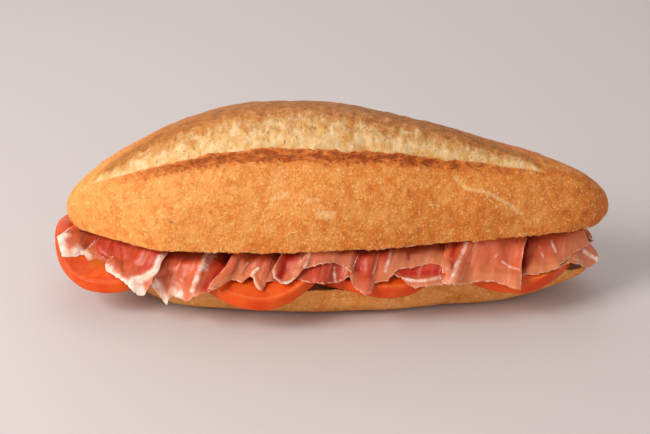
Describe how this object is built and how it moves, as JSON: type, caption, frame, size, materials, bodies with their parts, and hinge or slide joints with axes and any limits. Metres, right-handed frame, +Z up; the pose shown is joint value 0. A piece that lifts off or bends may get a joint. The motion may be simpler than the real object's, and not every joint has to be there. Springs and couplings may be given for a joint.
{
  "type": "ham baguette sandwich",
  "caption": "Filled baguette: a scored crusty loaf cut in two, with tomato slices and draped cured ham showing along both sides",
  "frame": {"origin": "the middle of the sandwich's box on the surface it rests on", "axes": "+X along the loaf, to the right of the side that shows the filling, +Y away from that side, +Z up"},
  "size_m": [0.2236, 0.0896, 0.076],
  "materials": {
    "crust": "baked bread crust, golden brown and slightly blistered",
    "tomato": "wet cut tomato, orange red",
    "ham": "thin cured ham, slightly shiny, with pale fat"
  },
  "bodies": {
    "root": {"bread_bottom": "crust", "bread_top": "crust", "tomato_1": "tomato", "tomato_2": "tomato", "tomato_3": "tomato", "tomato_4": "tomato", "ham_1": "ham", "ham_2": "ham", "ham_3": "ham", "ham_4": "ham", "ham_5": "ham", "ham_6": "ham", "ham_7": "ham", "ham_8": "ham"}
  },
  "joints": []
}
